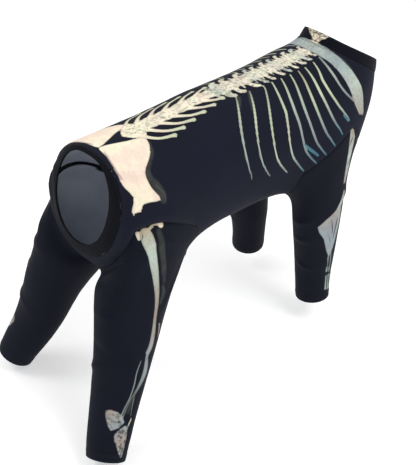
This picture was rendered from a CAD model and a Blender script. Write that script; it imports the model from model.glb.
# %% [markdown]
# # Dog skeleton costume
# A stretch suit for a large dog, cut from dark knit with a pale skeleton printed on it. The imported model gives
# the true sizes and places. Each cell makes one step of the cloth, its seams, its print or its light.

# %% Frame
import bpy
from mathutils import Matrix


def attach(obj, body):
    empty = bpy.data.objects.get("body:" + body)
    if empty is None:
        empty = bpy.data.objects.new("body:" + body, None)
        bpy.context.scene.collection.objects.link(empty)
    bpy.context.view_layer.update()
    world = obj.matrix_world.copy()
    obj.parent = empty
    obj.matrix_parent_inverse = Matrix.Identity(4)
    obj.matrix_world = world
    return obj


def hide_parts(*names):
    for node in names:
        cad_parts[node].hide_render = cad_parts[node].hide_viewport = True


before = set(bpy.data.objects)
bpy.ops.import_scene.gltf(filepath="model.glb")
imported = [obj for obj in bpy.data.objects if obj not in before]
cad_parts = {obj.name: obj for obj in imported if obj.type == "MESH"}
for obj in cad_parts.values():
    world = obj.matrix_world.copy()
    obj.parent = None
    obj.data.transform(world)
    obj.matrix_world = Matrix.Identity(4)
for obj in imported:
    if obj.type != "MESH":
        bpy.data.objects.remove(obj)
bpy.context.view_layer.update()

import bpy
import bmesh
import math
import numpy as np
from mathutils import Matrix, Vector, noise
from mathutils.bvhtree import BVHTree
from mathutils.kdtree import KDTree

# %% [markdown]
# ## The cut of the suit
# The suit is a tube for the trunk and four tubes for the legs. Sections across the trunk and the legs give its
# form: each row is a place that a tailor would measure, and smooth curves run between the rows. Lengths are
# shares of three named sizes, so the whole suit can be cut larger or smaller by changing those.

# %% Sizes and sections
BACK_LENGTH = 0.600
BACK_HEIGHT = 0.560
BODY_WIDTH = 0.240
UPPER_ROUND = 0.85
LOWER_ROUND = 0.92
COLUMNS = 32
LEG_COLUMNS = 24
HOLE_TOP = 9
HOLE_END = 15
JOIN_ROWS = 4

TRUNK_COLUMNS = ("name", "top_y", "top_z", "low_y", "low_z", "half_width", "widest", "steps")
TRUNK_TABLE = (
    ("neck_edge", -0.556, 1.115, -0.842, 0.961, 0.303, 0.51, 2),
    ("neck_seam", -0.554, 1.080, -0.828, 0.924, 0.340, 0.51, 1),
    ("neck_base", -0.535, 1.058, -0.812, 0.850, 0.400, 0.51, 3),
    ("shoulder", -0.437, 1.045, -0.716, 0.609, 0.548, 0.54, 6),
    ("chest", -0.238, 1.024, -0.440, 0.548, 0.510, 0.54, 3),
    ("ribs", -0.075, 1.012, -0.150, 0.543, 0.475, 0.53, 4),
    ("waist", 0.145, 0.982, 0.108, 0.512, 0.492, 0.54, 3),
    ("hip", 0.265, 0.963, 0.244, 0.522, 0.540, 0.55, 3),
    ("rump", 0.364, 0.948, 0.398, 0.520, 0.497, 0.505, 2),
    ("tail_seam", 0.388, 0.945, 0.424, 0.590, 0.400, 0.48, 2),
    ("tail_edge", 0.402, 0.937, 0.437, 0.634, 0.296, 0.47, 0),
)
LEG_TABLE_COLUMNS = ("name", "x", "y", "z", "half_x", "half_y", "steps")
HIND_TABLE = (
    ("thigh", 0.360, 0.330, 0.490, 0.270, 0.355, 3),
    ("knee", 0.434, 0.374, 0.359, 0.228, 0.270, 3),
    ("hock", 0.478, 0.422, 0.196, 0.204, 0.188, 3),
    ("hem_start", 0.560, 0.480, 0.052, 0.166, 0.152, 1),
    ("hem", 0.572, 0.488, 0.024, 0.154, 0.142, 0),
)
FRONT_TABLE = (
    ("upper_arm", 0.450, -0.490, 0.475, 0.204, 0.262, 2),
    ("elbow", 0.420, -0.482, 0.340, 0.196, 0.204, 3),
    ("wrist", 0.406, -0.466, 0.196, 0.164, 0.166, 2),
    ("hem_start", 0.412, -0.454, 0.108, 0.156, 0.158, 1),
    ("hem", 0.415, -0.451, 0.083, 0.152, 0.154, 0),
)
LEG_USE_COLUMNS = ("name", "side", "starts_at", "table", "foot_x", "foot_y")
LEG_USES = (
    ("front_leg_left", 1, "shoulder", FRONT_TABLE, 0.062, -0.130),
    ("front_leg_right", -1, "shoulder", FRONT_TABLE, 0.070, -0.080),
    ("hind_leg_left", 1, "waist", HIND_TABLE, 0.030, 0.000),
    ("hind_leg_right", -1, "waist", HIND_TABLE, 0.219, 0.064),
)
LIFT_COLUMNS = ("starts_at", "front", "middle", "rear")
HOLE_LIFTS = (
    ("shoulder", 2.7, 1.2, -0.2),
    ("waist", -0.5, 3.0, 2.9),
)


def as_rows(columns, table):
    return [dict(zip(columns, row)) for row in table]


TRUNK = as_rows(TRUNK_COLUMNS, TRUNK_TABLE)
LEGS = as_rows(LEG_USE_COLUMNS, LEG_USES)
PANELS = ["body", "neck_band", "tail_opening_binding"] + [use["name"] for use in LEGS]
print("panels", PANELS)

# %% [markdown]
# ## Curves between the sections
# A spline through each column of the table gives the rows between two named sections. The leg holes rise over
# the trunk's grid: the thigh's edge is an arch, the shoulder's slants down and back.

# %% Curves


def spline(values, step, s):
    p1 = values[step]
    p2 = values[step + 1]
    m1 = (p2 - values[max(step - 1, 0)]) * 0.5
    m2 = (values[min(step + 2, len(values) - 1)] - p1) * 0.5
    s2 = s * s
    s3 = s2 * s
    return (2 * s3 - 3 * s2 + 1) * p1 + (s3 - 2 * s2 + s) * m1 + (3 * s2 - 2 * s3) * p2 + (s3 - s2) * m2


def table_rows(rows, columns):
    out = []
    index = {}
    for i, row in enumerate(rows):
        index[row["name"]] = len(out)
        if row["steps"] == 0:
            out.append({c: row[c] for c in columns})
        for k in range(row["steps"]):
            out.append({c: spline([r[c] for r in rows], i, k / row["steps"]) for c in columns})
    return out, index


TRUNK_ROWS, SECTION = table_rows(TRUNK, ("top_y", "top_z", "low_y", "low_z", "half_width", "widest"))


def lifted(r, c):
    k = min(c, COLUMNS - c)
    size = HOLE_END - HOLE_TOP
    for hole in as_rows(LIFT_COLUMNS, HOLE_LIFTS):
        share = (r - SECTION[hole["starts_at"]]) / size
        fade = 1.0 - min(max(-share, share - 1.0, 0.0) * size / 3.0, 1.0)
        if fade <= 0.0:
            continue
        s = min(max(share, 0.0), 1.0)
        end = hole["front"] if s < 0.5 else hole["rear"]
        lift = end + (hole["middle"] - end) * math.sin(math.pi * s)
        reach = max(k - 2, 0) / (HOLE_TOP - 2) if k <= HOLE_TOP else max(HOLE_END - k, 0) / size
        k -= lift * fade * reach
    return k if c <= COLUMNS - c else COLUMNS - k


def trunk_point(row, r, c):
    angle = 2 * math.pi * lifted(r, c) / COLUMNS
    drop = ((1 - math.cos(angle)) / 2) ** (math.log(row["widest"]) / math.log(0.5))
    flat = UPPER_ROUND if math.cos(angle) > 0 else LOWER_ROUND
    side = math.copysign(abs(math.sin(angle)) ** flat, math.sin(angle))
    if c % (COLUMNS // 2) == 0:
        side = 0.0
    y = row["top_y"] + (row["low_y"] - row["top_y"]) * drop
    z = row["top_z"] + (row["low_z"] - row["top_z"]) * drop
    return Vector((row["half_width"] * BODY_WIDTH * side, y * BACK_LENGTH, z * BACK_HEIGHT))


def leg_rows(use):
    out, index = table_rows(as_rows(LEG_TABLE_COLUMNS, use["table"]), ("x", "y", "z", "half_x", "half_y"))
    top = out[0]["z"]
    low = out[-1]["z"]
    for row in out:
        share = (top - row["z"]) / (top - low)
        row["x"] += use["foot_x"] * share
        row["y"] += use["foot_y"] * share
    return out


def leg_ring(use, rows, i):
    def centre(row):
        return Vector((use["side"] * row["x"] * BODY_WIDTH, row["y"] * BACK_LENGTH, row["z"] * BACK_HEIGHT))
    row = rows[i]
    line = (centre(rows[min(i + 1, len(rows) - 1)]) - centre(rows[max(i - 1, 0)])).normalized()
    across = Vector((use["side"], 0, 0))
    across = (across - line * across.dot(line)).normalized()
    along = Vector((0, 1, 0))
    along = (along - line * along.dot(line) - across * along.dot(across)).normalized()
    ring = []
    for k in range(LEG_COLUMNS):
        angle = math.radians(-45 + 360 * k / LEG_COLUMNS)
        out = across * math.cos(angle) * row["half_x"] + along * math.sin(angle) * row["half_y"]
        ring.append(centre(row) + out * BODY_WIDTH)
    return ring


def hole_loop(use):
    first = SECTION[use["starts_at"]]
    size = HOLE_END - HOLE_TOP
    path = [(first + k, HOLE_TOP) for k in range(size)]
    path += [(first + size, HOLE_TOP + k) for k in range(size)]
    path += [(first + size - k, HOLE_END) for k in range(size)]
    path += [(first, HOLE_END - k) for k in range(size)]
    return path if use["side"] > 0 else [(r, COLUMNS - c) for r, c in path]


# %% [markdown]
# ## One cloth surface
# The whole suit is first one sheet, so that cloth runs smoothly over every seam. Every face knows its panel by
# its material number. Its grain map holds metres along and round the cloth, which the knit follows later.

# %% Cloth surface
sheet = bmesh.new()
grain = sheet.loops.layers.uv.new("grain")
grid = []
for r, row in enumerate(TRUNK_ROWS):
    grid.append([sheet.verts.new(trunk_point(row, r, c)) for c in range(COLUMNS)])
in_hole = set()
for use in LEGS:
    first = SECTION[use["starts_at"]]
    for r in range(first, first + HOLE_END - HOLE_TOP):
        for c in range(HOLE_TOP, HOLE_END):
            in_hole.add((r, c if use["side"] > 0 else COLUMNS - 1 - c))
TRUNK_PITCH = (BACK_LENGTH * 1.25 / len(TRUNK_ROWS), BODY_WIDTH * 3.1 / COLUMNS)
LEG_PITCH = (BACK_HEIGHT * 0.048, BODY_WIDTH * 0.060)
for r in range(len(grid) - 1):
    for c in range(COLUMNS):
        if (r, c) in in_hole:
            continue
        n = (c + 1) % COLUMNS
        face = sheet.faces.new((grid[r][c], grid[r][n], grid[r + 1][n], grid[r + 1][c]))
        face.material_index = 0
        if r < SECTION["neck_seam"]:
            face.material_index = 1
        if r >= SECTION["tail_seam"]:
            face.material_index = 2
        for loop, (a, b) in zip(face.loops, ((r, c), (r, c + 1), (r + 1, c + 1), (r + 1, c))):
            loop[grain].uv = (a * TRUNK_PITCH[0], b * TRUNK_PITCH[1])
leg_grids = {}
for use in LEGS:
    rows = leg_rows(use)
    loop_verts = [grid[r][c] for r, c in hole_loop(use)]
    rings = [loop_verts]
    first_ring = leg_ring(use, rows, 0)
    for j in range(1, JOIN_ROWS):
        rings.append([sheet.verts.new(v.co.lerp(p, j / JOIN_ROWS)) for v, p in zip(loop_verts, first_ring)])
    for i in range(len(rows)):
        rings.append([sheet.verts.new(p) for p in leg_ring(use, rows, i)])
    for i in range(len(rings) - 1):
        for k in range(LEG_COLUMNS):
            n = (k + 1) % LEG_COLUMNS
            corners = [rings[i][k], rings[i][n], rings[i + 1][n], rings[i + 1][k]]
            places = [(i, k), (i, k + 1), (i + 1, k + 1), (i + 1, k)]
            if use["side"] > 0:
                corners.reverse()
                places.reverse()
            face = sheet.faces.new(corners)
            face.material_index = PANELS.index(use["name"])
            for loop, (a, b) in zip(face.loops, places):
                loop[grain].uv = (a * LEG_PITCH[0], b * LEG_PITCH[1])
    leg_grids[use["name"]] = rings

for reach, rounds in ((3, 2), (2, 3), (1, 2)):
    near = set()
    for rings in leg_grids.values():
        ring = set(rings[0])
        for step in range(reach):
            ring |= {e.other_vert(v) for v in ring for e in v.link_edges}
        near |= ring
    near = [v for v in near if not v.is_boundary]
    for turn in range(rounds):
        bmesh.ops.smooth_vert(sheet, verts=near, factor=0.5, use_axis_x=True, use_axis_y=True, use_axis_z=True)
join = [v for rings in leg_grids.values() for ring in rings[1:JOIN_ROWS + 3] for v in ring]
for turn in range(4):
    bmesh.ops.smooth_vert(sheet, verts=join, factor=0.5, use_axis_x=True, use_axis_y=True, use_axis_z=True)
sheet.normal_update()
rest = min(grid, key=lambda line: abs(line[0].co.y))[0]
REST_POINT = rest.co - rest.normal * 0.0016
bmesh.ops.translate(sheet, verts=sheet.verts[:], vec=-REST_POINT)
sheet.normal_update()
trunk_grid = [[v.co.copy() for v in line] for line in grid]
leg_rings = {name: [[v.co.copy() for v in ring] for ring in rings] for name, rings in leg_grids.items()}
print("sheet", len(sheet.verts), "points", len(sheet.faces), "faces")

# %% [markdown]
# ## Finer cloth
# Three rounds of smooth subdivision give points about three millimetres apart. That is fine enough for the
# printed edges, which are held as a distance at each point and drawn sharp by the material.

# %% Refine
coarse = bpy.data.meshes.new("suit_sheet")
sheet.to_mesh(coarse)
sheet.free()
for name in PANELS:
    coarse.materials.append(bpy.data.materials.new("mark_" + name))
helper = bpy.data.objects.new("suit_sheet", coarse)
bpy.context.scene.collection.objects.link(helper)
refine = helper.modifiers.new("refine", "SUBSURF")
refine.levels = 3
refine.render_levels = 3
refine.boundary_smooth = "PRESERVE_CORNERS"
fine = bpy.data.meshes.new_from_object(helper.evaluated_get(bpy.context.evaluated_depsgraph_get()))
bpy.data.objects.remove(helper, do_unlink=True)
POINTS = np.empty(len(fine.vertices) * 3)
fine.vertices.foreach_get("co", POINTS)
POINTS = POINTS.reshape(-1, 3)
NORMALS = np.empty(len(fine.vertices) * 3)
fine.vertex_normals.foreach_get("vector", NORMALS)
NORMALS = NORMALS.reshape(-1, 3)
print("fine sheet", len(fine.vertices), "points", len(fine.polygons), "faces")

# %% [markdown]
# ## Folds
# Stretch knit lies smooth and folds only where a joint gathers it. Each fold is a soft ridge on the cloth: a
# place, the way it runs, its half length, its half width, and how far it stands out.

# %% Folds
panel_of_face = np.empty(len(fine.polygons), dtype=np.int32)
fine.polygons.foreach_get("material_index", panel_of_face)
loops_of_face = np.empty(len(fine.loops), dtype=np.int32)
fine.loops.foreach_get("vertex_index", loops_of_face)
loops_of_face = loops_of_face.reshape(-1, 4)
panels_at_point = np.zeros((len(POINTS), len(PANELS)), dtype=bool)
for p in range(len(PANELS)):
    panels_at_point[np.unique(loops_of_face[panel_of_face == p]), p] = True


def seam_points(a, b):
    both = panels_at_point[:, PANELS.index(a)] & panels_at_point[:, PANELS.index(b)]
    return np.nonzero(both)[0]


def distance_to(points, ids):
    tree = KDTree(len(ids))
    for i in ids:
        tree.insert(Vector(POINTS[i]), int(i))
    tree.balance()
    return np.array([tree.find(Vector(p))[2] for p in points])


shift = np.zeros(len(POINTS))
drop = np.zeros(len(POINTS))
for use in LEGS:
    ids = seam_points("body", use["name"])
    heart = POINTS[ids].mean(axis=0)
    near = np.nonzero(np.linalg.norm(POINTS - heart, axis=1) < 0.20)[0]
    far = distance_to(POINTS[near], ids)
    on_body = panels_at_point[near, 0]
    outer = np.clip((NORMALS[near, 0] * use["side"] - 0.15) / 0.5, 0, 1)
    if use["starts_at"] == "waist":
        rear = np.clip((POINTS[near, 1] - 0.10) / 0.06, 0, 1)
        weight = outer * rear
        shift[near] += np.where(on_body, 0.0085 * np.exp(-((far - 0.011) / 0.011) ** 2) * weight, 0)
        drop[near] += np.where(on_body, 0.0080 * np.exp(-((far - 0.004) / 0.012) ** 2) * weight, 0)
        shift[near] -= np.where(on_body, 0, 0.0060 * np.exp(-(far / 0.014) ** 2) * weight)
        shift[near] += np.where(on_body, 0, 0.0035 * np.exp(-((far - 0.040) / 0.012) ** 2) * weight)
    else:
        shift[near] -= 0.0012 * np.exp(-(far / 0.004) ** 2)


def ring_point(name, down, angle):
    # A place on a leg: rings down from its seam, and the angle round it, 0 outside and 90 at the rear
    rings = leg_rings[name]
    i = int(down)
    k = (angle + 45) / (360 / LEG_COLUMNS)
    k0 = int(math.floor(k))
    upper = rings[i][k0 % LEG_COLUMNS].lerp(rings[i][(k0 + 1) % LEG_COLUMNS], k - k0)
    lower = rings[i + 1][k0 % LEG_COLUMNS].lerp(rings[i + 1][(k0 + 1) % LEG_COLUMNS], k - k0)
    return upper.lerp(lower, down - i)


FOLD_COLUMNS = ("leg", "down", "angle", "run_angle", "run_down", "half_width", "out")
FOLDS = (
    ("hind_leg_right", 1.4, 85, 45, -0.3, 0.006, -0.0045),
    ("hind_leg_right", 2.3, 80, 55, -0.5, 0.007, 0.0070),
    ("hind_leg_right", 3.4, 90, 50, -0.5, 0.006, -0.0040),
    ("hind_leg_right", 2.4, -52, 16, 1.5, 0.004, 0.0026),
    ("hind_leg_right", 3.9, -34, 18, 1.7, 0.004, 0.0026),
    ("hind_leg_right", 1.1, -80, 22, 0.3, 0.005, 0.0045),
    ("hind_leg_right", 5.0, 60, 45, 0.5, 0.006, 0.0030),
    ("hind_leg_right", 5.9, 85, 55, -0.4, 0.006, 0.0028),
    ("hind_leg_right", 8.6, 110, 45, 0.3, 0.005, 0.0040),
    ("hind_leg_right", 7.6, 100, 40, -0.3, 0.005, -0.0030),
    ("hind_leg_right", 9.9, 80, 50, 0.5, 0.005, 0.0022),
    ("hind_leg_left", 6.6, 20, 45, 0.2, 0.005, 0.0036),
    ("hind_leg_left", 7.6, 10, 50, -0.3, 0.006, -0.0026),
    ("hind_leg_left", 8.8, 60, 60, 0.4, 0.005, 0.0026),
    ("hind_leg_left", 4.6, 60, 60, -0.6, 0.007, 0.0028),
    ("front_leg_right", 3.6, 80, 50, 0.3, 0.005, 0.0046),
    ("front_leg_right", 5.2, 90, 45, 0.2, 0.005, 0.0038),
    ("front_leg_right", 7.6, 80, 45, -0.2, 0.004, 0.0032),
    ("front_leg_right", 3.1, -40, 40, 0.3, 0.006, 0.0030),
    ("front_leg_left", 5.0, -60, 50, 0.3, 0.005, 0.0034),
    ("front_leg_left", 6.6, -70, 40, 0.2, 0.005, -0.0020),
    ("front_leg_left", 7.6, 60, 50, 0.2, 0.004, 0.0020),
)
for fold in as_rows(FOLD_COLUMNS, FOLDS):
    steps = 41
    path = []
    for i in range(steps):
        t = i / (steps - 1) * 2 - 1
        down = max(fold["down"] + fold["run_down"] * t, 0.5)
        path.append(ring_point(fold["leg"], down, fold["angle"] + fold["run_angle"] * t))
    on_leg = np.nonzero(panels_at_point[:, PANELS.index(fold["leg"])])[0]
    best = np.full(len(on_leg), 1.0)
    ease = np.zeros(len(on_leg))
    for i in range(steps):
        t = i / (steps - 1) * 2 - 1
        far = np.linalg.norm(POINTS[on_leg] - np.array(path[i]), axis=1)
        closer = far < best
        best[closer] = far[closer]
        ease[closer] = math.cos(math.pi / 2 * t) ** 2
    shift[on_leg] += fold["out"] * ease * np.exp(-(best / fold["half_width"] / 1.6) ** 2)

# The cloth is never quite even: slow swells of under a millimetre
for i, p in enumerate(POINTS):
    at = Vector(p)
    shift[i] += 0.0011 * noise.noise(at * 11.0) + 0.0004 * noise.noise(at * 34.0)
POINTS = POINTS + NORMALS * shift[:, None]
POINTS[:, 2] -= drop
fine.vertices.foreach_set("co", POINTS.ravel())
fine.update()
NORMALS = np.empty(len(fine.vertices) * 3)
fine.vertex_normals.foreach_get("vector", NORMALS)
NORMALS = NORMALS.reshape(-1, 3)
print("largest fold", round(float(np.abs(shift).max()) * 1000, 1), "mm")

# %% [markdown]
# ## Places on the cloth
# The print is placed as a pattern cutter would mark it: on the trunk by how many rows from the neck and how
# many columns from the middle of the back, on a leg by rows down from its seam and by the angle round it, 0 on
# the outer side and 90 at the rear. Every mark is then laid onto the nearest cloth.

# %% Places


def skin_of(panels):
    faces = loops_of_face[np.isin(panel_of_face, panels)]
    return BVHTree.FromPolygons([Vector(p) for p in POINTS], [list(f) for f in faces])


SKINS = {"trunk": skin_of([0, 1, 2])}
for use in LEGS:
    SKINS[use["name"]] = skin_of([PANELS.index(use["name"])])


def trunk_place(row, column):
    # column counts from the middle of the back towards the dog's right side
    rows = min(max(row, 0.0), len(trunk_grid) - 1.001)
    k = (-column) % COLUMNS
    r0, k0 = int(rows), int(k)
    t, u = rows - r0, k - k0
    k1 = (k0 + 1) % COLUMNS
    upper = trunk_grid[r0][k0].lerp(trunk_grid[r0][k1], u)
    lower = trunk_grid[r0 + 1][k0].lerp(trunk_grid[r0 + 1][k1], u)
    return np.array(SKINS["trunk"].find_nearest(upper.lerp(lower, t))[0])


def leg_place(name, down, angle):
    down = min(max(down, 0.0), len(leg_rings[name]) - 1.001)
    return np.array(SKINS[name].find_nearest(ring_point(name, down, angle))[0])


# The same two numbers for every point of the fine cloth, read back from its grain map
PLACES = np.zeros((len(POINTS), len(PANELS), 2))
grain_map = np.empty(len(fine.loops) * 2)
fine.uv_layers["grain"].data.foreach_get("uv", grain_map)
grain_map = grain_map.reshape(-1, 4, 2)
for p in range(len(PANELS)):
    mine = panel_of_face == p
    rows = grain_map[mine].reshape(-1, 2)
    ids = loops_of_face[mine].reshape(-1)
    if p < 3:
        column = rows[:, 1] / TRUNK_PITCH[1]
        PLACES[ids, p, 0] = rows[:, 0] / TRUNK_PITCH[0]
        PLACES[ids, p, 1] = np.minimum(column, COLUMNS - column)
    else:
        angle = rows[:, 1] / LEG_PITCH[1] * (360 / LEG_COLUMNS) - 45
        PLACES[ids, p, 0] = rows[:, 0] / LEG_PITCH[0]
        PLACES[ids, p, 1] = np.where(angle > 180, angle - 360, angle)
print("places ready, trunk rows up to", round(float(PLACES[:, 0, 0].max()), 1))

# %% [markdown]
# ## Bone shapes
# A bone is either a plate, drawn by its outline, or a stroke, drawn by a line with a half width in millimetres
# at each mark. Both sides carry the same bones, so only one half is written down.

# %% Bone shapes
CREAM = (0.86, 0.78, 0.60)
BLUSH = (0.84, 0.70, 0.57)
BONE = (0.74, 0.70, 0.56)
LEAF = (0.58, 0.66, 0.46)
MINT = (0.66, 0.70, 0.52)
PALE = (0.46, 0.53, 0.46)
MIST = (0.30, 0.35, 0.36)
TEAL = (0.075, 0.20, 0.27)
ASH = (0.17, 0.185, 0.18)
BUFF = (0.35, 0.31, 0.27)
SAND = (0.46, 0.42, 0.29)


def closed_curve(points, steps):
    # A smooth closed line through the marks of an outline
    marks = [np.array(p, dtype=float) for p in points]
    out = []
    for i in range(len(marks)):
        four = [marks[(i + k) % len(marks)] for k in (-1, 0, 1, 2)]
        out += [spline(four, 1, k / steps) for k in range(steps)]
    return out


def open_curve(points, steps):
    marks = [np.array(p, dtype=float) for p in points]
    out = [spline(marks, i, k / steps) for i in range(len(marks) - 1) for k in range(steps)]
    return out + [marks[-1]]


def plate(outline, tints, ragged=0.0, steps=3, place=trunk_place):
    marks = closed_curve(outline, steps) if steps > 1 else [np.array(p, dtype=float) for p in outline]
    line = np.array([place(*m) for m in marks])
    return dict(kind="plate", marks=np.array(marks), line=np.vstack((line, line[:1])), tints=tints, ragged=ragged)


def stroke(marks, tints, ragged=0.0, steps=4, place=trunk_place):
    rows = open_curve(marks, steps)
    line = np.array([place(m[0], m[1]) for m in rows])
    return dict(kind="stroke", line=line, widths=np.array([m[2] for m in rows]) / 1000, tints=tints, ragged=ragged)


trunk_bones = []
trunk_lines = []
trunk_smoke = []

# Ten ribs by one rule, counted from the front: each leaves the spine one pitch behind the last,
# sweeps back to its rearmost place and turns forward to its tip. The middle ribs sweep and reach furthest.
RIB_TINTS = ((MIST, PALE, MIST, BUFF), (MINT, LEAF, MIST), (LEAF, MINT, MIST, TEAL), (SAND, LEAF, MIST, TEAL),
             (LEAF, PALE, MIST, TEAL), (LEAF, PALE, MIST, TEAL), (MINT, LEAF, MINT, PALE, TEAL),
             (LEAF, LEAF, MINT, MIST), (LEAF, MINT, PALE, MIST), (LEAF, PALE, MIST))
RIB_FIRST = 4.0
RIB_PITCH = 1.125
RIB_ROOT = 1.25
RIB_STEPS = 6
RIB_WIDE_MM = 3.5
RIB_END_MM = 2.0
for i, tints in enumerate(RIB_TINTS):
    swell = math.sin(math.pi * (i + 1) / (len(RIB_TINTS) + 1))
    root_row = RIB_FIRST + RIB_PITCH * i
    back_row = root_row + 1.0 + swell
    back_column = 5.5 + 1.5 * swell
    marks = []
    for k in range(RIB_STEPS + 1):
        t = k / RIB_STEPS
        wide = RIB_END_MM + (RIB_WIDE_MM - RIB_END_MM) * math.sin(math.pi * min(t, 0.75))
        marks.append((root_row + (back_row - root_row) * math.sin(math.pi / 2 * t),
                      RIB_ROOT + (back_column - RIB_ROOT) * t, wide))
    for t in (0.35, 0.7, 1.0):
        marks.append((back_row - 0.75 * swell * (1 - math.cos(math.pi / 2 * t)),
                      back_column + 2.0 * t, RIB_END_MM + 1.0 * (1 - t)))
    trunk_bones.append(stroke(marks, tints))
# Short blue pieces end the cartilage of two ribs
trunk_bones.append(stroke(((11.5, 6.9, 1.2), (11.2, 7.6, 3.4), (10.6, 8.5, 2.8)), (TEAL, TEAL)))
trunk_bones.append(stroke(((6.7, 7.5, 2.8), (6.4, 8.2, 4.2)), (TEAL, TEAL)))
# The darker heads of the two rearmost ribs
trunk_smoke.append(stroke(((14.05, 1.4, 5.0), (14.42, 2.1, 4.0)), None))
trunk_smoke.append(stroke(((13.15, 1.45, 4.0), (13.5, 2.1, 4.5), (13.85, 2.8, 2.5)), None))

# Chest vertebrae: one outline, repeated along the back and a little larger towards the tail
CHEST_ROWS = (4.35, 5.3, 6.3, 7.35, 8.4, 9.45, 10.5, 11.55, 12.6, 13.65, 14.6)
CHEST_OUTLINE = ((-0.52, -0.4), (-0.52, 0.46), (-0.36, 0.50), (-0.30, 0.68), (-0.48, 0.84), (-0.64, 0.98), (-0.52, 1.14),
                 (-0.22, 1.08), (-0.02, 0.88), (0.06, 0.64), (0.18, 0.52), (0.30, 0.60), (0.36, 0.82), (0.47, 0.74),
                 (0.44, 0.52), (0.52, 0.46), (0.52, -0.4))
for i, row in enumerate(CHEST_ROWS):
    size = 0.88 + 0.02 * i
    tilt = 0.10 * math.sin(i * 2.3)
    outline = [(row + dr * 1.02 + tilt * max(k, 0.0), k * size) for dr, k in CHEST_OUTLINE]
    trunk_bones.append(plate(outline, (BONE, PALE if i % 3 == 1 else BONE), ragged=0.6, steps=2))
    trunk_lines.append(stroke(((row - 0.30, 0.86 * size, 0.5), (row - 0.08, 0.84 * size, 1.3), (row + 0.02, 0.95 * size, 0.3)),
                              None))
    trunk_lines.append(stroke(((row + 0.30, 0.10, 0.2), (row + 0.10, 0.30, 0.5), (row + 0.22, 0.52, 0.2)), None))

# Loin vertebrae: a body and a wing that reaches forward and out to a forked end
LOIN_FIRST = 15.5
LOIN_PITCH = 1.1
LOIN_COUNT = 6
LOIN_OUTLINE = ((-0.62, -0.4), (-0.66, 0.20), (-0.86, 0.55), (-0.70, 0.86), (-0.45, 1.16), (-0.18, 1.06),
                (0.10, 0.96), (0.22, 1.22), (0.46, 1.30), (0.56, 1.00), (0.42, 0.60), (0.60, -0.4))
for i in range(LOIN_COUNT):
    row = LOIN_FIRST + LOIN_PITCH * i
    half = 0.42 + 0.02 * i
    outline = [(row + dr, k * half) for dr, k in LOIN_OUTLINE]
    trunk_bones.append(plate(outline, (CREAM, BONE, CREAM), ragged=0.4, steps=2))
    base = (row + 0.5, 0.35)
    tip = (row - 0.75 - 0.26 * i, 0.88 + 0.19 * i)
    middle = (base[0] + (tip[0] - base[0]) * 0.5, base[1] + (tip[1] - base[1]) * 0.7)
    w = 3.5
    trunk_bones.append(stroke(((*base, w * 1.5), (*middle, w * 0.85), (*tip, w)), (CREAM, CREAM, LEAF)))
    for out in (-0.10, 0.12):
        trunk_bones.append(stroke(((tip[0] + 0.25, tip[1] - 0.04, w * 0.8), (tip[0] + 0.04, tip[1] + out, w * 0.6)),
                                  (LEAF, CREAM)))
    trunk_lines.append(stroke(((row - 0.72, 0.05, 0.4), (row - 0.56, 0.24, 0.6), (row - 0.62, 0.40, 0.3),
                               (row - 0.48, 0.52, 0.6)), None))
    if i % 2 == 1:
        trunk_lines.append(stroke(((row + 0.05, 0.06, 0.4), (row - 0.20, 0.22, 1.2), (row - 0.34, 0.30, 0.3)), None))

# Sacrum, hip plates and tail root
trunk_bones.append(plate(((20.6, -0.4), (20.5, 0.55), (20.9, 0.80), (21.4, 0.74), (22.0, 0.42), (22.4, 0.0), (22.3, -0.4)),
                         (CREAM, BLUSH), ragged=0.4))
trunk_lines.append(stroke(((20.9, 0.10, 0.3), (21.25, 0.24, 1.3), (21.5, 0.30, 0.4)), None))
# The hip plate flares outward in front and ends in a knob, in half rows and half columns
HIP_OUTLINE = (
    (25.0, 0.0), (22.5, 0.5), (21.0, 1.0), (22.0, 2.5), (23.0, 4.0), (23.0, 6.0), (22.5, 7.5), (24.0, 7.5),
    (24.5, 8.0), (25.5, 8.0), (25.0, 6.5), (26.0, 4.5), (26.0, 2.5), (25.5, 1.0),
)
trunk_bones.append(plate(HIP_OUTLINE, (CREAM, BLUSH, CREAM), ragged=0.02, steps=3))
for shift_rows in (0.2, 0.42):
    trunk_lines.append(stroke(((25.3 - shift_rows, 0.45, 0.30), (25.9 - shift_rows, 1.5, 0.40),
                               (26.1 - shift_rows, 2.9, 0.40), (25.9 - shift_rows, 4.1, 0.35)), None))
trunk_smoke.append(stroke(((21.1, 1.35, 3.0), (21.55, 2.0, 5.0), (22.2, 2.75, 6.0), (22.72, 3.7, 6.0), (22.8, 4.8, 6.0),
                           (22.62, 5.7, 8.0), (22.5, 6.5, 10.0), (22.3, 7.2, 9.0), (22.2, 7.6, 5.0)), None))
trunk_bones.append(stroke(((22.66, 5.8, 0.3), (22.3, 6.45, 0.7), (22.02, 7.2, 0.8), (21.98, 7.9, 0.3)), (MIST, ASH, ASH)))

# Shoulder blades meet over the first ribs and sweep down and forward
trunk_bones.append(plate(
    ((2.25, -0.5), (2.25, 2.0), (3.0, 5.0), (4.5, 9.0), (5.0, 9.75), (5.25, 8.0), (4.5, 5.0), (3.75, 2.0),
     (3.75, -0.5)),
    (PALE, MIST, PALE, BUFF), ragged=0.15, steps=2))
trunk_lines.append(stroke(((2.6, 0.10, 0.3), (3.0, 0.16, 0.8), (3.5, 0.10, 0.4)), None))
trunk_lines.append(stroke(((3.66, 0.2, 0.8), (3.80, 1.1, 1.1), (3.86, 1.8, 0.3)), None))
trunk_smoke.append(stroke(((2.5, 3.4, 2.0), (2.95, 4.6, 4.5), (3.35, 5.6, 2.5)), None))

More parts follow.
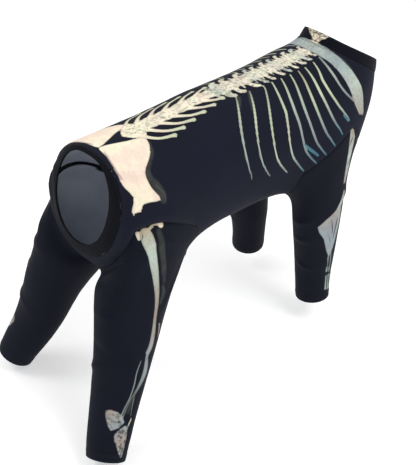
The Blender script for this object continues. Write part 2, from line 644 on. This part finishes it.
# Neck vertebra on the band
trunk_bones.append(plate(((2.4, -0.3), (2.35, 0.26), (1.9, 0.46), (1.45, 0.62), (0.95, 1.08), (0.5, 1.3), (0.15, 1.6),
                          (-0.3, 1.7), (-0.3, -0.3)), (CREAM, BLUSH), ragged=0.8, steps=2))
trunk_lines.append(stroke(((1.5, 0.15, 0.4), (1.1, 0.42, 0.8), (0.9, 0.30, 0.5), (0.6, 0.62, 0.8), (0.4, 0.9, 0.3)), None))
trunk_lines.append(stroke(((0.35, 0.0, 1.1), (0.45, 0.34, 1.4), (0.1, 0.55, 0.5)), None))
trunk_lines.append(stroke(((0.25, 0.8, 0.6), (0.42, 1.05, 1.3), (0.1, 1.3, 0.5)), None))
print("trunk shapes", len(trunk_bones), len(trunk_lines), len(trunk_smoke))

# %% [markdown]
# ## Leg bones
# The hind leg has the thigh bone with its two knobs, the knee cap, the shin with a thin second bone, the heel
# and the foot bones. The front leg has the upper arm, the elbow with its point, the forearm and small bones.

# %% Leg bones
THIGH_SHAFT = ((0.75, 30, 11.0), (1.25, 25, 12.0), (3.0, 10, 8.0), (4.5, 0, 5.5), (5.75, -5, 4.5), (7.0, -10, 7.0),
               (7.5, -5, 6.0))
SHIN_SHAFT = ((7.75, -5, 4.0), (8.5, -10, 7.0), (9.25, 0, 4.0), (9.75, 10, 2.0))
HEEL_OUTLINE = ((10.75, 70), (10.75, 40), (11.25, 20), (11.75, 50), (11.25, 65))
FOOT_OUTLINE = ((12.0, 40), (11.5, 25), (11.5, 5), (13.0, 0), (13.5, 5), (12.5, 30))
ELBOW_OUTLINE = ((3.5, -30), (3.5, -5), (4.0, 40), (5.0, 25), (6.75, 5), (5.0, -20))
FLARE_OUTLINE = ((0.0, -40), (1.0, -40), (2.5, -30), (2.0, -50), (0.25, -55))
leg_bones = {}
leg_lines = {}
leg_smoke = {}
for use in LEGS:
    name = use["name"]

    def at(down, angle, name=name):
        return leg_place(name, down, angle)

    if use["starts_at"] == "waist":
        bones = [
            stroke(THIGH_SHAFT, (SAND, PALE, BUFF, BUFF, MIST), ragged=0.1, place=at),
            stroke(((0.60, 31, 2.0), (0.42, 20, 3.2), (0.28, 12, 5.5), (0.40, 6, 6.0)), (SAND, CREAM), place=at),
            stroke(((0.5, 42, 4.0), (0.9, 40, 2.5)), (CREAM, CREAM), place=at),
            stroke(((6.0, -20, 2.4), (6.15, -24, 3.6), (6.7, -29, 2.2)), (BUFF, BUFF), place=at),
            stroke(SHIN_SHAFT, (MIST, ASH), place=at),
            stroke(((9.8, 8, 1.6), (10.4, 7, 1.0), (10.87, 5, 0.8)), (ASH, MIST), place=at),
            stroke(((9.8, 13, 1.4), (10.4, 21, 1.2), (10.95, 26, 1.4)), (ASH, ASH), place=at),
            stroke(((7.9, 8, 1.1), (8.5, 13, 1.3), (9.2, 14, 1.5), (9.9, 19, 1.2), (10.6, 28, 1.2), (11.0, 32, 1.3)),
                   (MIST, MIST), place=at),
            plate(HEEL_OUTLINE, (BUFF, MIST), ragged=0.6, steps=2, place=at),
            plate(FOOT_OUTLINE, (MIST, BUFF, MIST), ragged=1.0, steps=2, place=at),
            stroke(((11.05, 2, 1.8), (11.12, 1, 1.8)), (CREAM, CREAM), place=at),
            stroke(((11.26, 4, 1.5), (11.4, 5, 2.0)), (CREAM, MIST), place=at),
        ]
        lines = [
            stroke(((0.5, 36, 0.6), (0.8, 34, 1.1), (1.1, 37, 0.4)), None, place=at),
            stroke(((7.9, -4, 0.6), (7.72, -12, 1.6), (7.85, -18, 0.5)), None, place=at),
            stroke(((11.16, 26, 0.5), (11.24, 34, 1.9), (11.3, 38, 0.4)), None, place=at),
            stroke(((11.95, 24, 0.6), (12.05, 12, 0.8), (11.95, 2, 0.5)), None, place=at),
            stroke(((12.2, 26, 0.4), (12.3, 14, 1.2), (12.25, 6, 0.4)), None, place=at),
            stroke(((12.5, 4, 0.5), (13.0, 8, 0.9), (13.4, 6, 0.5)), None, place=at),
        ]
        smoke = [
            stroke(((0.75, 10, 5.0), (1.5, 5, 6.5), (2.4, -2, 6.0), (3.0, -6, 6.0), (3.5, -9, 3.0)), None, place=at),
            stroke(((3.8, -8, 3.0), (4.2, -12, 5.0), (4.8, -9, 3.0)), None, place=at),
            stroke(((9.5, 6, 3.0), (10.0, 12, 4.0), (10.7, 16, 3.5)), None, place=at),
        ]
    else:
        bones = [
            plate(FLARE_OUTLINE, (BUFF, PALE, BUFF), ragged=0.2, steps=2, place=at),
            stroke(((2.2, -36, 3.0), (2.5, -38, 2.0)), (BUFF, BUFF), place=at),
            stroke(((2.85, -36, 3.0), (3.2, -27, 5.5), (3.5, -17, 6.5), (3.9, -4, 6.5)), (BUFF, PALE, MIST), place=at),
            plate(ELBOW_OUTLINE, (BUFF, MIST, MIST), steps=2, place=at),
            stroke(((6.7, 7, 2.6), (7.3, 5, 1.6), (7.7, 4, 1.2)), (MIST, ASH), place=at),
            stroke(((6.4, -2, 2.0), (7.3, -6, 1.8), (7.8, -8, 1.6)), (MIST, MIST), place=at),
            stroke(((7.8, 5, 2.6), (8.2, 3, 3.2)), (MIST, MIST), place=at),
            stroke(((7.9, -7, 3.0), (8.4, -10, 3.4)), (MIST, ASH), place=at),
            stroke(((8.8, 2, 2.6), (9.4, 0, 2.2), (10.2, -1, 3.0)), (MIST, PALE), place=at),
            stroke(((8.8, -9, 2.6), (9.5, -12, 2.2), (10.4, -14, 3.0)), (MIST, PALE), place=at),
            stroke(((8.9, -19, 2.2), (9.6, -23, 2.0), (10.3, -26, 2.6)), (MIST, MIST), place=at),
        ]
        lines = [
            stroke(((0.3, -50, 0.6), (0.55, -46, 2.2), (0.75, -41, 0.8)), None, place=at),
            stroke(((1.25, -54, 0.5), (1.5, -47, 2.0), (1.7, -40, 0.6)), None, place=at),
            stroke(((4.0, -14, 0.8), (4.4, -10, 2.8), (4.9, -6, 1.6), (5.4, -3, 0.5)), None, place=at),
            stroke(((3.8, 6, 0.4), (4.3, 3, 1.5), (4.9, 1, 0.8)), None, place=at),
            stroke(((4.7, 14, 0.3), (5.2, 8, 0.9), (5.7, 4, 0.4)), None, place=at),
        ]
        smoke = [stroke(((3.0, -26, 3.0), (3.6, -20, 4.0)), None, place=at)]
    leg_bones[name], leg_lines[name], leg_smoke[name] = bones, lines, smoke
print("leg shapes", len(leg_bones["hind_leg_left"]), len(leg_bones["front_leg_left"]))

# %% [markdown]
# ## Distance to the print
# For every point of the cloth: how many millimetres it lies from the nearest bone's edge, less than zero inside
# the bone. Distances are taken along the cloth, so a raised fold doesn't blur an edge. The material draws the
# edge sharp, which costs no picture files and stays crisp from near.

# %% Distance


def along_cloth(points, normals, a, b):
    # Distance from each point to the piece a-b of a line, leaving out the part across the cloth
    ab = b - a
    t = np.clip(((points - a) @ ab) / max(float(ab @ ab), 1e-10), 0, 1)
    gap = points - a - t[:, None] * ab
    across = (gap * normals).sum(axis=1)
    gap = gap - normals * across[:, None]
    return np.sqrt((gap * gap).sum(axis=1) + np.maximum(np.abs(across) - 0.003, 0) ** 2), t


def inside_outline(marks, places):
    x, y = places[:, 0], places[:, 1]
    inside = np.zeros(len(places), dtype=bool)
    for (x0, y0), (x1, y1) in zip(marks, np.roll(marks, -1, axis=0)):
        if y0 == y1:
            continue
        cross = (y0 > y) != (y1 > y)
        inside ^= cross & (x < (x1 - x0) * (y - y0) / (y1 - y0) + x0)
    return inside


def tint_at(tints, t):
    stops = np.array(tints)
    place = np.clip(t, 0, 1) * (len(stops) - 1)
    low = np.minimum(place.astype(int), len(stops) - 2)
    return stops[low] + (stops[low + 1] - stops[low]) * (place - low)[:, None]


THIN = 0.0014


def print_values(points, normals, places, shapes, rounded=True, reach=0.020):
    best = np.full(len(points), reach)
    colour = np.tile(np.array(CREAM), (len(points), 1))
    ragged = np.zeros(len(points))
    for shape in shapes:
        line = shape["line"]
        wide = 0.0 if shape["kind"] == "plate" else shape["widths"].max()
        low, high = line.min(axis=0) - reach - wide, line.max(axis=0) + reach + wide
        ids = np.nonzero(((points > low) & (points < high)).all(axis=1))[0]
        if len(ids) == 0:
            continue
        p, n = points[ids], normals[ids]
        far = np.full(len(ids), 1.0)
        spot = np.zeros(len(ids))
        for i in range(len(line) - 1):
            gap, t = along_cloth(p, n, line[i], line[i + 1])
            if shape["kind"] == "stroke":
                half = shape["widths"][i] + (shape["widths"][i + 1] - shape["widths"][i]) * t
                # A round valley, not a sharp one, keeps a narrow bone's edges even between the cloth's points
                gap = (gap * gap - half * half) / (2 * np.maximum(half, THIN)) if rounded else gap - half
            closer = gap < far
            far[closer] = gap[closer]
            spot[closer] = ((i + t) / (len(line) - 1))[closer]
        if shape["kind"] == "plate":
            inside = inside_outline(shape["marks"], places[ids])
            far = np.where(inside, -far, far)
            start = line[:-1].mean(axis=0)
            axis = np.linalg.eigh(np.cov((line[:-1] - start).T))[1][:, -1]
            axis = axis * (1.0 if axis[2] <= 0 else -1.0)
            run = (line[:-1] - start) @ axis
            spot = ((p - start) @ axis - run.min()) / max(float(np.ptp(run)), 1e-6)
        closer = far < best[ids]
        hit = ids[closer]
        best[hit] = far[closer]
        ragged[hit] = shape["ragged"]
        if shape["tints"] is not None:
            colour[hit] = tint_at(shape["tints"], spot[closer])
    return best * 1000, colour, ragged


# %% [markdown]
# ## Shared effects
# Small node groups that every cloth material uses: the knit's fine ribs, the printed bone with its ragged edge
# and mottled ink, the stitch rows beside a seam, and lint with faint wear.

# %% Node groups


def new_group(name, inputs, outputs):
    tree = bpy.data.node_groups.new(name, "ShaderNodeTree")
    for label, kind, value in inputs:
        socket = tree.interface.new_socket(label, in_out="INPUT", socket_type=kind)
        if value is not None:
            socket.default_value = value
    for label, kind in outputs:
        tree.interface.new_socket(label, in_out="OUTPUT", socket_type=kind)
    return tree, tree.nodes.new("NodeGroupInput"), tree.nodes.new("NodeGroupOutput")


def maths(tree, kind, a, b=None, c=None, clamp=False):
    node = tree.nodes.new("ShaderNodeMath")
    node.operation = kind
    node.use_clamp = clamp
    for i, value in enumerate((a, b, c)):
        if value is None:
            continue
        if hasattr(value, "is_output"):
            tree.links.new(value, node.inputs[i])
        else:
            node.inputs[i].default_value = value
    return node.outputs[0]


def blend_colour(tree, factor, a, b, mode="MIX"):
    node = tree.nodes.new("ShaderNodeMix")
    node.data_type = "RGBA"
    node.blend_type = mode
    for slot, value in ((0, factor), (6, a), (7, b)):
        if hasattr(value, "is_output"):
            tree.links.new(value, node.inputs[slot])
        elif slot == 0:
            node.inputs[slot].default_value = value
        else:
            node.inputs[slot].default_value = (*value, 1.0)
    return node.outputs[2]


def noise_value(tree, vector, scale, detail=2.0, rough=0.5):
    node = tree.nodes.new("ShaderNodeTexNoise")
    node.inputs["Scale"].default_value = scale
    node.inputs["Detail"].default_value = detail
    node.inputs["Roughness"].default_value = rough
    tree.links.new(vector, node.inputs["Vector"])
    return node.outputs["Fac"]


def smooth_step(tree, value, low, high, out_low=0.0, out_high=1.0):
    node = tree.nodes.new("ShaderNodeMapRange")
    node.interpolation_type = "SMOOTHSTEP"
    tree.links.new(value, node.inputs["Value"])
    for label, number in (("From Min", low), ("From Max", high), ("To Min", out_low), ("To Max", out_high)):
        node.inputs[label].default_value = number
    return node.outputs["Result"]


# Knit: columns of stitches about a millimetre wide, each a row of small loops
knit, gin, gout = new_group("Knit", [("Grain", "NodeSocketVector", None), ("Wales per metre", "NodeSocketFloat", 900.0)],
                            [("Height", "NodeSocketFloat"), ("Shade", "NodeSocketFloat")])
split = knit.nodes.new("ShaderNodeSeparateXYZ")
knit.links.new(gin.outputs["Grain"], split.inputs[0])
across = maths(knit, "MULTIPLY", split.outputs[1], gin.outputs["Wales per metre"])
along = maths(knit, "MULTIPLY", split.outputs[0], gin.outputs["Wales per metre"])
wale = maths(knit, "ABSOLUTE", maths(knit, "SINE", maths(knit, "MULTIPLY", across, math.pi)))
lean = maths(knit, "ADD", along, maths(knit, "MULTIPLY", wale, 0.5))
loops = maths(knit, "ABSOLUTE", maths(knit, "SINE", maths(knit, "MULTIPLY", lean, math.pi)))
height = maths(knit, "ADD", maths(knit, "MULTIPLY", wale, 0.6), maths(knit, "MULTIPLY", loops, 0.4))
knit.links.new(height, gout.inputs["Height"])
knit.links.new(smooth_step(knit, height, 0.1, 0.9, 0.86, 1.06), gout.inputs["Shade"])

# Print: the bone's mask from its distance, with mottled ink and a darker rim inside the edge
ink, gin, gout = new_group(
    "Printed bone",
    [("Distance", "NodeSocketFloat", 10.0), ("Ragged", "NodeSocketFloat", 0.0), ("Bone", "NodeSocketColor", None),
     ("Cloth", "NodeSocketColor", None), ("Lines", "NodeSocketFloat", 10.0), ("Place", "NodeSocketVector", None)],
    [("Color", "NodeSocketColor"), ("Mask", "NodeSocketFloat")])
torn = maths(ink, "SUBTRACT", noise_value(ink, gin.outputs["Place"], 140.0, 3.0, 0.6), 0.5)
edge = maths(ink, "ADD", gin.outputs["Distance"], maths(ink, "MULTIPLY", maths(ink, "MULTIPLY", torn, 4.0), gin.outputs["Ragged"]))
mask = smooth_step(ink, edge, -0.45, 0.45, 1.0, 0.0)
rim = smooth_step(ink, edge, -2.6, -0.3, 0.0, 1.0)
blotch = noise_value(ink, gin.outputs["Place"], 34.0, 3.0, 0.55)
fine_blotch = noise_value(ink, gin.outputs["Place"], 150.0, 2.0, 0.5)
tint = blend_colour(ink, smooth_step(ink, blotch, 0.42, 0.62), gin.outputs["Bone"], (0.93, 0.88, 0.92), "MULTIPLY")
tint = blend_colour(ink, smooth_step(ink, blotch, 0.30, 0.46, 0.5, 0.0), tint, (0.82, 0.97, 0.90), "MULTIPLY")
speckle = maths(ink, "MULTIPLY", smooth_step(ink, fine_blotch, 0.46, 0.62), maths(ink, "ADD", gin.outputs["Ragged"], 0.06, clamp=True))
tint = blend_colour(ink, speckle, tint, (0.36, 0.36, 0.31), "MULTIPLY")
tint = blend_colour(ink, maths(ink, "MULTIPLY", rim, 0.55), tint, (0.40, 0.42, 0.38), "MULTIPLY")
lines = smooth_step(ink, gin.outputs["Lines"], -0.3, 0.7, 0.85, 0.0)
tint = blend_colour(ink, lines, tint, (0.05, 0.05, 0.06))
ink.links.new(blend_colour(ink, mask, gin.outputs["Cloth"], tint), gout.inputs["Color"])
ink.links.new(mask, gout.inputs["Mask"])

# Stitches: two rows of thread at a set distance from a seam or hem
rows_group, gin, gout = new_group(
    "Stitch rows",
    [("Distance", "NodeSocketFloat", 50.0), ("First row", "NodeSocketFloat", 3.0), ("Second row", "NodeSocketFloat", 6.0),
     ("Place", "NodeSocketVector", None)],
    [("Height", "NodeSocketFloat"), ("Mask", "NodeSocketFloat")])


def one_row(place):
    off = maths(rows_group, "ABSOLUTE", maths(rows_group, "SUBTRACT", gin.outputs["Distance"], place))
    return smooth_step(rows_group, off, 0.35, 0.8, 1.0, 0.0)


dots = noise_value(rows_group, gin.outputs["Place"], 420.0, 0.0)
both_rows = maths(rows_group, "MAXIMUM", one_row(gin.outputs["First row"]), one_row(gin.outputs["Second row"]))
thread = maths(rows_group, "MULTIPLY", both_rows, smooth_step(rows_group, dots, 0.38, 0.50, 0.35, 1.0))
rows_group.links.new(thread, gout.inputs["Height"])
rows_group.links.new(thread, gout.inputs["Mask"])

# Lint and wear: slow change of shade, small pale specks
wear, gin, gout = new_group("Lint and wear", [("Place", "NodeSocketVector", None), ("Amount", "NodeSocketFloat", 1.0)],
                            [("Shade", "NodeSocketFloat"), ("Lint", "NodeSocketFloat"), ("Rough", "NodeSocketFloat")])
slow = noise_value(wear, gin.outputs["Place"], 7.0, 3.0, 0.55)
speck = noise_value(wear, gin.outputs["Place"], 900.0, 1.0)
wear.links.new(smooth_step(wear, slow, 0.3, 0.7, 0.86, 1.16), gout.inputs["Shade"])
wear.links.new(maths(wear, "MULTIPLY", smooth_step(wear, speck, 0.74, 0.80), gin.outputs["Amount"]), gout.inputs["Lint"])
wear.links.new(smooth_step(wear, slow, 0.3, 0.7, -0.04, 0.05), gout.inputs["Rough"])
print("groups", [g.name for g in bpy.data.node_groups])

# %% [markdown]
# ## Cloth material
# One recipe for every panel: dark knit with a soft sheen, the print laid over it, stitch rows by the seams. The
# print lies flat and matt, so it loses the sheen a little. The reverse of the cloth is unprinted and pale.

# %% Materials


def attribute(tree, name, output="Fac"):
    node = tree.nodes.new("ShaderNodeAttribute")
    node.attribute_name = name
    return node.outputs[output]


def use_group(tree, group, **inputs):
    node = tree.nodes.new("ShaderNodeGroup")
    node.node_tree = group
    for label, value in inputs.items():
        socket = node.inputs[label.replace("_", " ")]
        if hasattr(value, "is_output"):
            tree.links.new(value, socket)
        else:
            socket.default_value = value
    return node


def face_cloth(name, colour, roughness=0.72, sheen=0.004, rows=(3.0, 6.0), hem_rows=(50.0, 50.0), printed=True):
    mat = bpy.data.materials.new(name)
    mat.use_nodes = True
    tree = mat.node_tree
    shader = tree.nodes["Principled BSDF"]
    place = tree.nodes.new("ShaderNodeTexCoord").outputs["Object"]
    uv = tree.nodes.new("ShaderNodeUVMap")
    uv.uv_map = "grain"
    knit_node = use_group(tree, knit, Grain=uv.outputs["UV"])
    wear_node = use_group(tree, wear, Place=place, Amount=0.5)
    cloth = blend_colour(tree, 1.0, colour, knit_node.outputs["Shade"], "MULTIPLY")
    cloth = blend_colour(tree, 1.0, cloth, wear_node.outputs["Shade"], "MULTIPLY")
    drift = noise_value(tree, place, 60.0, 3.0)
    smoke = smooth_step(tree, attribute(tree, "smoke_mm"), -3.0, 3.5, 1.0, 0.0)
    smoke = maths(tree, "MULTIPLY", smoke, smooth_step(tree, drift, 0.3, 0.7, 0.5, 0.9))
    cloth = blend_colour(tree, smoke, cloth, (0.048, 0.050, 0.046))
    height = maths(tree, "MULTIPLY", knit_node.outputs["Height"], 0.35)
    if printed:
        bone = use_group(tree, ink, Distance=attribute(tree, "bone_mm"), Ragged=attribute(tree, "ragged"),
                         Bone=attribute(tree, "bone_colour", "Color"), Cloth=cloth, Lines=attribute(tree, "line_mm"),
                         Place=place)
        cloth = bone.outputs["Color"]
    for label, pair in (("seam_mm", rows), ("hem_mm", hem_rows)):
        stitch = use_group(tree, rows_group, Distance=attribute(tree, label), First_row=pair[0], Second_row=pair[1],
                           Place=place)
        cloth = blend_colour(tree, maths(tree, "MULTIPLY", stitch.outputs["Mask"], 0.8), cloth, (0.012, 0.012, 0.016))
        height = maths(tree, "ADD", height, maths(tree, "MULTIPLY", stitch.outputs["Height"], 0.8))
    cloth = blend_colour(tree, maths(tree, "MULTIPLY", wear_node.outputs["Lint"], 0.25), cloth, (0.25, 0.25, 0.27))
    tree.links.new(cloth, shader.inputs["Base Color"])
    tree.links.new(maths(tree, "ADD", wear_node.outputs["Rough"], roughness), shader.inputs["Roughness"])
    shader.inputs["Sheen Weight"].default_value = sheen
    shader.inputs["Sheen Roughness"].default_value = 0.45
    shader.inputs["Sheen Tint"].default_value = (0.72, 0.76, 1.0, 1.0)
    shader.inputs["Specular IOR Level"].default_value = 0.10
    shader.inputs["Specular Tint"].default_value = (0.75, 0.82, 1.0, 1.0)
    bump = tree.nodes.new("ShaderNodeBump")
    bump.inputs["Strength"].default_value = 0.35
    bump.inputs["Distance"].default_value = 0.0005
    tree.links.new(height, bump.inputs["Height"])
    tree.links.new(bump.outputs[0], shader.inputs["Normal"])
    return mat


NAVY = (0.0075, 0.0085, 0.0170)
BLACK = (0.0030, 0.0030, 0.0045)


def back_cloth(name, colour):
    mat = bpy.data.materials.new(name)
    mat.use_nodes = True
    tree = mat.node_tree
    shader = tree.nodes["Principled BSDF"]
    place = tree.nodes.new("ShaderNodeTexCoord").outputs["Object"]
    uv = tree.nodes.new("ShaderNodeUVMap")
    uv.uv_map = "grain"
    knit_node = use_group(tree, knit, Grain=uv.outputs["UV"])
    wear_node = use_group(tree, wear, Place=place, Amount=0.3)
    cloth = blend_colour(tree, 1.0, colour, knit_node.outputs["Shade"], "MULTIPLY")
    cloth = blend_colour(tree, 1.0, cloth, wear_node.outputs["Shade"], "MULTIPLY")
    # The allowance beside a seam shows the dark face
    allowance = smooth_step(tree, attribute(tree, "seam_mm"), 5.0, 6.0, 1.0, 0.0)
    cloth = blend_colour(tree, allowance, cloth, BLACK)
    tree.links.new(cloth, shader.inputs["Base Color"])
    shader.inputs["Roughness"].default_value = 0.85
    bump = tree.nodes.new("ShaderNodeBump")
    bump.inputs["Strength"].default_value = 0.3
    bump.inputs["Distance"].default_value = 0.0005
    tree.links.new(knit_node.outputs["Height"], bump.inputs["Height"])
    tree.links.new(bump.outputs[0], shader.inputs["Normal"])
    return mat


reverse = back_cloth("Reverse of the knit", (0.56, 0.60, 0.68))
reverse_dark = back_cloth("Inside of the bands", (0.006, 0.006, 0.009))

# %% [markdown]
# ## Panels
# Each panel is cut out of the one sheet with a seam gap of half a millimetre, gets its print, and is then
# thickened inwards along the whole sheet's own normals, so that neighbours keep facing edges at every seam.

# %% Panels
SEAM_GAP = 0.0006


def boundary_distance(points, ids, reach):
    if len(ids) == 0:
        return np.full(len(points), 60.0)
    tree = KDTree(len(ids))
    for i in ids:
        tree.insert(Vector(POINTS[i]), int(i))
    tree.balance()
    out = np.full(len(points), 60.0)
    for n, p in enumerate(points):
        found = tree.find(Vector(p))
        if found[2] is not None and found[2] < reach:
            out[n] = found[2] * 1000
    return out


edge_use = {}
for f, face in enumerate(loops_of_face):
    for k in range(4):
        pair = (min(face[k], face[(k + 1) % 4]), max(face[k], face[(k + 1) % 4]))
        edge_use.setdefault(pair, []).append(f)
free_ids = np.unique([i for pair, users in edge_use.items() if len(users) == 1 for i in pair])
is_free = np.zeros(len(POINTS), dtype=bool)
is_free[free_ids] = True
panel_count = panels_at_point.sum(axis=1)


def make_panel(name, face_mat, back_mat, raise_out, cloth, shape=None):
    p = PANELS.index(name)
    bm = bmesh.new()
    bm.from_mesh(fine)
    nx, ny, nz = (bm.verts.layers.float.new(k) for k in ("nx", "ny", "nz"))
    bm.verts.ensure_lookup_table()
    for i, vert in enumerate(bm.verts):
        vert[nx], vert[ny], vert[nz] = NORMALS[i]
    own = [f for f in bm.faces if f.material_index == p]
    keep = sorted({v.index for f in own for v in f.verts})
    points = POINTS[keep]
    normals = NORMALS[keep]
    if p < 3:
        # Both sides of the trunk carry the same print, so its left half is read as its right half
        points = points * (1, 1, 1)
        flip = points[:, 0] > 0
        points[flip, 0] *= -1
        normals = normals * (1, 1, 1)
        normals[flip, 0] *= -1
    shapes = (leg_bones.get(name, trunk_bones), leg_lines.get(name, trunk_lines), leg_smoke.get(name, trunk_smoke))
    mm, colour, ragged = print_values(points, normals, PLACES[keep, p], shapes[0])
    line_mm = print_values(points, normals, PLACES[keep, p], shapes[1], rounded=False)[0]
    smoke_mm = print_values(points, normals, PLACES[keep, p], shapes[2])[0]
    points = POINTS[keep]
    mine = panels_at_point[:, p]
    seam_ids = np.nonzero(mine & (panel_count > 1))[0]
    hem_ids = np.nonzero(mine & is_free)[0]
    seam_mm = boundary_distance(points, seam_ids, 0.03)
    hem_mm = boundary_distance(points, hem_ids, 0.03)
    layers = {}
    for label in ("bone_mm", "ragged", "line_mm", "seam_mm", "hem_mm", "smoke_mm"):
        layers[label] = bm.verts.layers.float.new(label)
    tint = bm.verts.layers.float_color.new("bone_colour")
    values = dict(bone_mm=mm, ragged=ragged, line_mm=line_mm, seam_mm=seam_mm, hem_mm=hem_mm, smoke_mm=smoke_mm)
    for n, i in enumerate(keep):
        vert = bm.verts[i]
        for label, layer in layers.items():
            vert[layer] = float(values[label][n])
        vert[tint] = (*colour[n], 1.0)
        out = raise_out
        if shape is not None:
            out += shape(seam_mm[n] / 1000, hem_mm[n] / 1000)
        vert.co += Vector(NORMALS[i]) * out
    # The seam gap: edge points step back into the panel
    own_set = set(own)
    steps = {}
    for face in own:
        middle = face.calc_center_median()
        for edge in face.edges:
            if sum(1 for f in edge.link_faces if f in own_set) > 1:
                continue
            line = (edge.verts[1].co - edge.verts[0].co).normalized()
            step = middle - (edge.verts[0].co + edge.verts[1].co) / 2
            step = (step - line * step.dot(line)).normalized()
            for vert in edge.verts:
                steps.setdefault(vert, []).append(step)
    for vert, found in steps.items():
        mean = sum(found, Vector()) / len(found)
        vert.co += mean * (SEAM_GAP / 2) / max(mean.length_squared, 0.5)
    bmesh.ops.delete(bm, geom=[f for f in bm.faces if f not in own_set], context="FACES")
    bmesh.ops.delete(bm, geom=[v for v in bm.verts if not v.link_faces], context="VERTS")
    outside = bm.faces[:]
    for face in outside:
        face.material_index = 0
        face.smooth = True
    made = bmesh.ops.extrude_face_region(bm, geom=outside, use_keep_orig=True)["geom"]
    inside = [g for g in made if isinstance(g, bmesh.types.BMVert)]
    for vert in inside:
        vert.co -= Vector((vert[nx], vert[ny], vert[nz])) * (cloth + raise_out)
    inner_faces = [g for g in made if isinstance(g, bmesh.types.BMFace)]
    for face in inner_faces:
        face.material_index = 1
        face.smooth = True
    bmesh.ops.reverse_faces(bm, faces=inner_faces)
    both = set(inner_faces) | set(outside)
    for face in bm.faces:
        if face not in both:
            face.material_index = 0
    bmesh.ops.recalc_face_normals(bm, faces=bm.faces[:])
    if bm.calc_volume(signed=True) < 0:
        bmesh.ops.reverse_faces(bm, faces=bm.faces[:])
    for label in ("nx", "ny", "nz"):
        bm.verts.layers.float.remove(bm.verts.layers.float[label])
    mesh = bpy.data.meshes.new(name + "_cloth")
    bm.to_mesh(mesh)
    area = sum(f.calc_area() for f in bm.faces) / 2
    bm.free()
    mesh.materials.append(face_mat)
    mesh.materials.append(back_mat)
    obj = bpy.data.objects.new(name + "_cloth", mesh)
    bpy.context.scene.collection.objects.link(obj)
    print(name, "cloth", len(mesh.polygons), "faces, area", round(area, 4), "m2")
    return obj, area


def band_roll(seam, hem):
    # A folded band swells between its seam and its edge
    width = max(seam + hem, 1e-4)
    return 0.0011 * math.sin(math.pi * min(seam / width, 1.0))


def hem_step(seam, hem):
    # The turned hem stands a little proud up to its stitches
    return 0.0007 * min(max((0.015 - hem) / 0.002, 0.0), 1.0)


MADE = {}
RECIPES = {
    "body": (dict(colour=NAVY, rows=(4.0, 6.6)), reverse, 0.0, 0.0016, None),
    "neck_band": (dict(colour=(0.0040, 0.0043, 0.0075), rows=(1.4, 50.0)), reverse_dark, 0.0006, 0.0026, band_roll),
    "tail_opening_binding": (dict(colour=BLACK, rows=(1.6, 50.0), printed=False), reverse_dark, 0.0006, 0.0026, band_roll),
}
for use in LEGS:
    RECIPES[use["name"]] = (dict(colour=(0.0056, 0.0064, 0.0120), rows=(50.0, 50.0), hem_rows=(11.0, 14.0)), reverse,
                            0.0, 0.0016, hem_step)
AREAS = {}
for name, (look, back, raise_out, cloth, shape) in RECIPES.items():
    face = face_cloth(name + " knit", **look)
    MADE[name], AREAS[name] = make_panel(name, face, back, raise_out, cloth, shape)
    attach(MADE[name], "root")
    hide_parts(name)

# %% [markdown]
# ## What each piece is
# Every panel is a sheet of cloth, cut flat and stretched over the form that wears it. The flat sizes are the
# girth by the length of each tube; the cut's own area leaves out the leg holes.

# %% Sheets
bpy.data.meshes.remove(fine)

# %% [markdown]
# ## Floor, light and camera
# A plain pale floor just under the hind hems, a pale surround, and large soft lights as in a product photo. The
# camera stands behind the right hip at the photograph's angle and distance, turned by its slight tilt.

# %% Stage
FLOOR_Z = -0.574
floor_mesh = bpy.data.meshes.new("floor")
bm = bmesh.new()
bmesh.ops.create_grid(bm, x_segments=1, y_segments=1, size=6.0)
bmesh.ops.translate(bm, verts=bm.verts[:], vec=(0, 0, FLOOR_Z))
bm.to_mesh(floor_mesh)
bm.free()
floor = bpy.data.objects.new("floor", floor_mesh)
bpy.context.scene.collection.objects.link(floor)
floor_mat = bpy.data.materials.new("Pale floor")
floor_mat.use_nodes = True
floor_shader = floor_mat.node_tree.nodes["Principled BSDF"]
floor_shader.inputs["Base Color"].default_value = (0.92, 0.92, 0.92, 1.0)
floor_shader.inputs["Roughness"].default_value = 0.9
floor_shader.inputs["Emission Color"].default_value = (1, 1, 1, 1)
floor_shader.inputs["Emission Strength"].default_value = 0.3
floor_mesh.materials.append(floor_mat)

world = bpy.data.worlds.new("Studio")
world.use_nodes = True
world.node_tree.nodes["Background"].inputs[0].default_value = (1.0, 1.0, 1.0, 1.0)
world.node_tree.nodes["Background"].inputs[1].default_value = 0.74
bpy.context.scene.world = world
bpy.context.scene.view_settings.view_transform = "Standard"


def soft_light(name, at, to, size, watts):
    data = bpy.data.lights.new(name, "AREA")
    data.shape = "DISK"
    data.size = size
    data.energy = watts
    obj = bpy.data.objects.new(name, data)
    obj.location = at
    obj.rotation_euler = (Vector(to) - Vector(at)).to_track_quat("-Z", "Y").to_euler()
    bpy.context.scene.collection.objects.link(obj)


soft_light("key", (-1.4, -0.2, 1.9), (0, 0, -0.2), 1.4, 26)
soft_light("back", (1.2, 1.4, 1.6), (0, 0, -0.2), 1.2, 16)

CAMERA_AT = Vector((-1.153, 1.1895, 0.7924))
CAMERA_LOOKS = Vector((0.5661, -0.6169, -0.5468)).normalized()
CAMERA_TILT = math.radians(6.53)
camera_data = bpy.data.cameras.new("camera")
camera_data.lens = 76.9
camera_data.sensor_width = 36.0
camera = bpy.data.objects.new("camera", camera_data)
right = CAMERA_LOOKS.cross(Vector((0, 0, 1))).normalized()
up = right.cross(CAMERA_LOOKS)
right, up = right * math.cos(CAMERA_TILT) + up * math.sin(CAMERA_TILT), up * math.cos(CAMERA_TILT) - right * math.sin(CAMERA_TILT)
camera.matrix_world = Matrix.Translation(CAMERA_AT) @ Matrix((right, up, -CAMERA_LOOKS)).transposed().to_4x4()
bpy.context.scene.collection.objects.link(camera)
bpy.context.scene.camera = camera
